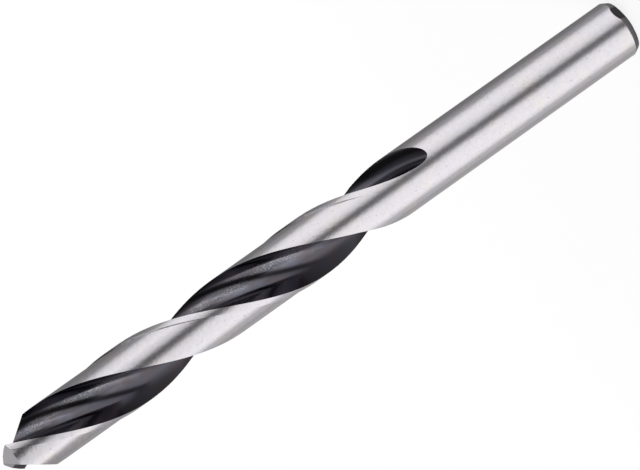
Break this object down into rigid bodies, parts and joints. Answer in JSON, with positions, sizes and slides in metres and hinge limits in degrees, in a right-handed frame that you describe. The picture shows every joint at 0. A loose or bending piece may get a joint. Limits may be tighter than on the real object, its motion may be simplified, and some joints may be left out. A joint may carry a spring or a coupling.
{
  "type": "twist drill bit",
  "caption": "Straight-shank twist drill bit: helical flutes with raised margins, a ground split point and a plain cylindrical shank, for drilling round holes in metal.",
  "frame": {"origin": "centre of the shank's end face, on the axis; the bit stands on that face", "axes": "+Z along the bit's axis, from the shank end to the point; +X and +Y across it, with the cutting lips parallel to X"},
  "size_m": [0.0124, 0.0124, 0.151],
  "materials": {
    "high_speed_steel": "ground bright on the shank, the lands and the point; blued black in the flutes and round the shank end"
  },
  "bodies": {
    "root": {"drill_bit": "high_speed_steel"}
  },
  "joints": []
}
